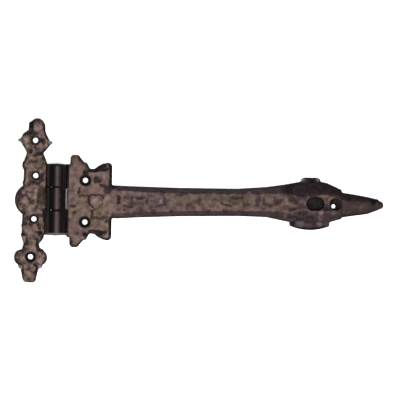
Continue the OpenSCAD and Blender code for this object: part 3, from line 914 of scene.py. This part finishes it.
    sand = tree.nodes.new("ShaderNodeTexNoise")
    sand.label = "grains of sand"
    sand.location = (-780, -300)
    sand.parent = relief
    sand.inputs["Scale"].default_value = 900
    sand.inputs["Detail"].default_value = 2
    pores = tree.nodes.new("ShaderNodeTexVoronoi")
    pores.label = "pores of the casting"
    pores.location = (-780, -560)
    pores.parent = relief
    pores.inputs["Scale"].default_value = 520
    pore_edge = tree.nodes.new("ShaderNodeMapRange")
    pore_edge.label = "only the small pores"
    pore_edge.location = (-560, -560)
    pore_edge.parent = relief
    pore_edge.inputs["From Max"].default_value = 0.3
    both = tree.nodes.new("ShaderNodeMath")
    both.label = "sand and pores"
    both.location = (-360, -400)
    both.parent = relief
    both.operation = "ADD"
    unlacquered = tree.nodes.new("ShaderNodeMath")
    unlacquered.label = "none under the lacquer"
    unlacquered.location = (-360, -620)
    unlacquered.parent = relief
    unlacquered.operation = "SUBTRACT"
    unlacquered.inputs[0].default_value = 1
    rough = tree.nodes.new("ShaderNodeMath")
    rough.label = "rough castings, smooth barrel"
    rough.location = (-180, -300)
    rough.parent = relief
    rough.operation = "MULTIPLY"
    bumps = tree.nodes.new("ShaderNodeBump")
    bumps.label = "fine relief"
    bumps.location = (20, -300)
    bumps.parent = relief
    bumps.inputs["Strength"].default_value = grain
    bumps.inputs["Distance"].default_value = 0.35 * MM
    tree.links.new(where.outputs["Object"], sand.inputs["Vector"])
    tree.links.new(where.outputs["Object"], pores.inputs["Vector"])
    tree.links.new(pores.outputs["Distance"], pore_edge.inputs["Value"])
    tree.links.new(sand.outputs["Fac"], both.inputs[0])
    tree.links.new(pore_edge.outputs["Result"], both.inputs[1])
    tree.links.new(both.outputs["Value"], rough.inputs[0])
    tree.links.new(lacquer.outputs["Fac"], unlacquered.inputs[1])
    tree.links.new(unlacquered.outputs["Value"], rough.inputs[1])
    tree.links.new(rough.outputs["Value"], bumps.inputs["Height"])

    skin = tree.nodes.new("ShaderNodeBsdfPrincipled")
    skin.label = "lacquered iron"
    skin.location = (300, 300)
    skin.inputs["Metallic"].default_value = 0.3
    skin.inputs["Specular IOR Level"].default_value = 0.12
    out = tree.nodes.new("ShaderNodeOutputMaterial")
    out.label = "surface"
    out.location = (620, 300)
    tree.links.new(grey.outputs[2], skin.inputs["Base Color"])
    tree.links.new(gloss.outputs["Result"], skin.inputs["Roughness"])
    tree.links.new(bumps.outputs["Normal"], skin.inputs["Normal"])
    tree.links.new(skin.outputs["BSDF"], out.inputs["Surface"])
    return m


for piece, look in (
    (jamb, antique_iron("antique_iron_jamb", 0.4, 0.36, 0.3)),
    (strap, antique_iron("antique_iron_strap", 0.2, 0.36, 0.3)),
    (pin, antique_iron("darkened_steel_pin", 0.2, 0.34, 0.1)),
):
    piece.data.materials.append(look)

# %% [markdown]
# ## Riding with the joint
# Each visible piece is hung under the measured body that it moves with, and the measured solid that it
# stands for is hidden.

# %% Bodies and replaced solids
for piece, body, node, slot in (
    (jamb, "jamb", "jamb_leaf", "antique_iron_jamb"),
    (strap, "strap", "strap_leaf", "antique_iron_strap"),
    (pin, "strap", "hinge_pin", "darkened_steel_pin"),
):
    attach(piece, body)
    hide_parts(node)

# %% [markdown]
# ## Floor and light
# The floor is a white light table: it glows a little, so the hinge hardly throws a shadow on it. A
# wide soft light hangs overhead, nearer to the jamb leaf, and a lower one leans in from the -Y side.

# %% Floor and lights
FLOOR_HALF = 3.0
floor_mesh = bpy.data.meshes.new("floor")
corners = [(-1, -1), (1, -1), (1, 1), (-1, 1)]
floor_points = [(FLOOR_HALF * x, FLOOR_HALF * y, -0.2 * MM) for x, y in corners]
floor_mesh.from_pydata(floor_points, [], [(0, 1, 2, 3)])
floor = bpy.data.objects.new("floor", floor_mesh)
bpy.context.scene.collection.objects.link(floor)
pale = bpy.data.materials.new("light_table")
pale.use_nodes = True
white = pale.node_tree.nodes["Principled BSDF"]
white.label = "white light table"
white.inputs["Base Color"].default_value = (0.9, 0.9, 0.9, 1)
white.inputs["Roughness"].default_value = 0.9
white.inputs["Emission Color"].default_value = (1, 1, 1, 1)
white.inputs["Emission Strength"].default_value = 0.5
floor_mesh.materials.append(pale)


def area_light(name, place, target, size, power):
    """A square soft light at a place, turned towards a target."""
    lamp = bpy.data.lights.new(name, "AREA")
    lamp.shape = "SQUARE"
    lamp.size = size
    lamp.energy = power
    holder = bpy.data.objects.new(name, lamp)
    bpy.context.scene.collection.objects.link(holder)
    holder.location = place
    holder.rotation_mode = "QUATERNION"
    holder.rotation_quaternion = (Vector(target) - Vector(place)).to_track_quat("-Z", "Y")


area_light("overhead", (0.22, -0.12, 1.1), (0.12, 0, 0), 0.7, 14)
area_light("from_below", (0.12, -1.0, 0.7), (0.12, 0, 0), 0.6, 8)
world = bpy.data.worlds.new("studio")
world.use_nodes = True
world.node_tree.nodes["Background"].inputs["Color"].default_value = (0.9, 0.9, 0.92, 1)
world.node_tree.nodes["Background"].inputs["Strength"].default_value = 0.08
bpy.context.scene.world = world
bpy.context.scene.view_settings.view_transform = "Standard"
